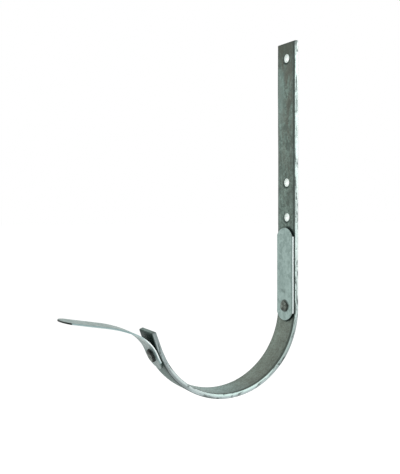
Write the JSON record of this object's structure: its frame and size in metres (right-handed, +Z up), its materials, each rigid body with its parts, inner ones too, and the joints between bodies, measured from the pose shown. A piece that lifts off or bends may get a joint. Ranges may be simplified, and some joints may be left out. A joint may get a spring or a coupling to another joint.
{
  "type": "gutter bracket",
  "caption": "Half-round gutter bracket of galvanised flat bar, with screw holes in its leg and a riveted sheet tab at the back and front that fold over the gutter's edges.",
  "frame": {"origin": "centre of the half round that holds the gutter, at mid width of the bar", "axes": "+X towards the wall, +Y along the gutter, +Z up along the leg"},
  "size_m": [0.2477, 0.03, 0.3555],
  "materials": {
    "strap_zinc": "dull hot-dip galvanised, mottled",
    "tab_zinc": "satin galvanised sheet",
    "rivet_zinc": "dull hammered, galvanised"
  },
  "bodies": {
    "root": {"strap": "strap_zinc", "rear_tab": "tab_zinc", "front_tab": "tab_zinc", "rear_rivet": "rivet_zinc", "front_rivet": "rivet_zinc"}
  },
  "joints": []
}
